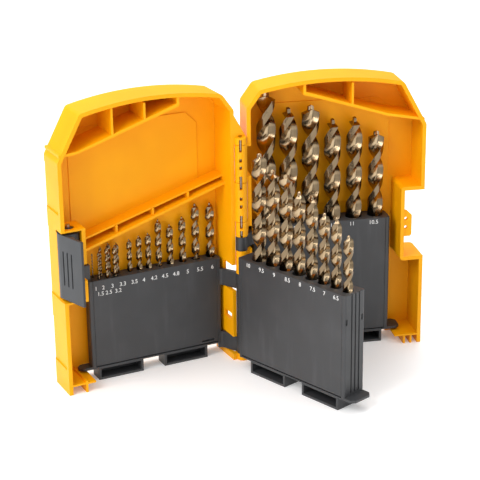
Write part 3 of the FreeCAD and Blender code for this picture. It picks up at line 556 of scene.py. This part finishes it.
bitShape = bitTree(bits, bitSteel)
for size, flute in fluteLengths.items():
    node = "drill_" + size
    low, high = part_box(node)
    diameter = float(size.replace("_", ".")) / perMetre
    turns = (high.z - low.z) / (bits["lead"] * diameter)
    values = {
        "Diameter": diameter,
        "Length": high.z - low.z,
        "Flute Length": flute / perMetre,
        "Turn": math.radians(pointTurns.get(size, smallTurn)),
        "Rings": math.ceil(turns * bits["ringsPerTurn"]) + bits["footRings"] + bits["tipRings"],
        "Foot": ((low.x + high.x) / 2, (low.y + high.y) / 2, low.z),
    }
    bit = settled("twistBit" + size.replace("_", "p"), bitShape, values)
    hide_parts(node)
    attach(bit, bodyOf[node])
print("twist bits made:", len(fluteLengths))

# Size marks along the top of each label plate, millimetres: each row has its height, then its words
marks = {
    "height": 3.9,
    "stroke": 0.05,
    "lift": 0.02,
    "left": {
        "depth": 13.5,
        "upper": (65.0, {
            "1": 99.0, "2": 93.9, "3": 87.5, "3.3": 80.2, "3.5": 72.0, "4": 65.3,
            "4.2": 58.0, "4.5": 50.1, "4.8": 42.1, "5": 33.6, "5.5": 24.6, "6": 15.5,
        }),
        "lower": (61.0, {"1.5": 95.9, "2.5": 90.2, "3.2": 83.6}),
    },
    "middle": {
        "depth": -12.45,
        "upper": (76.3, {
            "10": 18.9, "9.5": 31.2, "9": 42.8, "8.5": 54.9, "8": 66.0, "7.5": 77.0, "7": 87.0, "6.5": 97.0,
        }),
    },
    "right": {
        "depth": 8.0,
        "upper": (88.3, {"13": 20.3, "12.5": 35.4, "12": 50.4, "11.5": 65.5, "11": 77.5, "10.5": 92.5}),
    },
}


def wordMesh(word, m):
    curve = bpy.data.curves.new("mark", "FONT")
    curve.body = word
    curve.size = m["height"] / perMetre
    curve.align_x = "CENTER"
    curve.align_y = "CENTER"
    curve.extrude = m["stroke"] / perMetre
    written = addObject("mark", curve)
    mesh = evaluatedMesh(written)
    bpy.data.objects.remove(written)
    return mesh


def makeMarks(page, m):
    # The plate faces the opened side: its outward direction is towards smaller depth
    upward = Vector((0, 0, 1))
    side = pageTurn(page) @ Vector((1, 0, 0))
    out = pageTurn(page) @ Vector((0, -pages[page]["hand"], 0))
    across = side if side.cross(upward).dot(out) > 0 else -side
    text = bmesh.new()
    for row in ("upper", "lower"):
        up, words = m[page].get(row, (0, {}))
        for word, along in words.items():
            mesh = wordMesh(word, m)
            basis = Matrix((across, upward, out)).transposed().to_4x4()
            basis.translation = onPage(page, along, m[page]["depth"] - m["lift"], up)
            mesh.transform(basis)
            text.from_mesh(mesh)
            bpy.data.meshes.remove(mesh)
    mesh = bpy.data.meshes.new(page + "SizeMarks")
    text.to_mesh(mesh)
    text.free()
    mesh.materials.append(markInk)
    piece = addObject(page + "SizeMarks", mesh)
    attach(piece, page + "_holder")


for page in pages:
    makeMarks(page, marks)
print("size marks made")

# Pale floor under the case, seen as white, and a sky that only lights it
studio = {
    "floorSize": 6.0,
    "floorDrop": 0.00002,
    "floorColour": (0.93, 0.93, 0.93, 1.0),
    "floorRoughness": 0.7,
    "floorGlow": 0.15,
    "white": (1.0, 1.0, 1.0, 1.0),
    "skyTop": 1.2,
    "skyLow": 0.2,
    "skyBand": (-0.1, 0.9),
}


def makeFloor(s):
    edge, under = s["floorSize"] / 2, -s["floorDrop"]
    corners = [(-edge, -edge, under), (edge, -edge, under), (edge, edge, under), (-edge, edge, under)]
    mesh = bpy.data.meshes.new("floor")
    mesh.from_pydata(corners, [], [(0, 1, 2, 3)])
    constants = {
        "Base Color": s["floorColour"],
        "Roughness": s["floorRoughness"],
        "Emission Color": s["white"],
        "Emission Strength": s["floorGlow"],
    }
    mesh.materials.append(newMaterial("paleFloor", constants)[0])
    addObject("floor", mesh)


# White to the camera; to the object, a sky that is brighter overhead
def makeSky(s):
    world = bpy.data.worlds.new("studio")
    bpy.context.scene.world = world
    world.use_nodes = True
    tree = world.node_tree
    background = tree.nodes["Background"]
    background.inputs["Color"].default_value = s["white"]
    up = splitUp(tree, addNode(tree, "ShaderNodeTexCoord", output="Generated"))[2]
    strength = s["skyLow"] + (s["skyTop"] - s["skyLow"]) * up.eased(*s["skyBand"])
    seen = addNode(tree, "ShaderNodeLightPath", output="Is Camera Ray")
    feed(background, {"Strength": seen + (1 - seen) * strength})


makeFloor(studio)
makeSky(studio)

lamps = {
    "keyLight": {"place": (-0.95, -0.8, 1.15), "aim": (0, 0, 0.08), "size": (0.8, 0.8), "power": 15},
    "fillLight": {"place": (1.1, -0.7, 0.6), "aim": (0, 0, 0.08), "size": (0.6, 0.8), "power": 0.8},
    "stripLight": {"place": (-0.6, -1.15, 0.4), "aim": (0, 0, 0.1), "size": (0.12, 0.9), "power": 1.7},
    "topLight": {"place": (0.1, 0.5, 1.3), "aim": (0, 0, 0.1), "size": (0.8, 0.5), "power": 6},
}


def addLamp(name, lamp):
    light = bpy.data.lights.new(name, "AREA")
    light.shape = "RECTANGLE"
    light.size, light.size_y = lamp["size"]
    light.energy = lamp["power"]
    where = Vector(lamp["place"])
    carrier = addObject(name, light)
    carrier.location = where
    carrier.rotation_euler = (Vector(lamp["aim"]) - where).to_track_quat("-Z", "Y").to_euler()


for name, lamp in lamps.items():
    addLamp(name, lamp)

# The camera as solved from the photograph: metres, degrees and millimetres of lens
view = {
    "place": (-0.0011, -0.9722, 0.4473),
    "pitch": 20.39,
    "roll": -0.77,
    "lens": 117.42,
    "sensor": 36,
    "farthest": 20,
}


def makeCamera(v):
    pitch, roll = math.radians(v["pitch"]), math.radians(v["roll"])
    forward = Vector((0, math.cos(pitch), -math.sin(pitch)))
    level = Vector((1, 0, 0))
    upward = level.cross(forward)
    right = level * math.cos(roll) + upward * math.sin(roll)
    top = upward * math.cos(roll) - level * math.sin(roll)
    camera = addObject("camera", bpy.data.cameras.new("camera"))
    turn = Matrix((right, top, -forward)).transposed().to_4x4()
    camera.matrix_world = Matrix.Translation(v["place"]) @ turn
    camera.data.lens = v["lens"]
    camera.data.sensor_width = v["sensor"]
    camera.data.clip_end = v["farthest"]
    bpy.context.scene.camera = camera


makeCamera(view)
bpy.context.scene.view_settings.view_transform = "Standard"
print("studio ready")
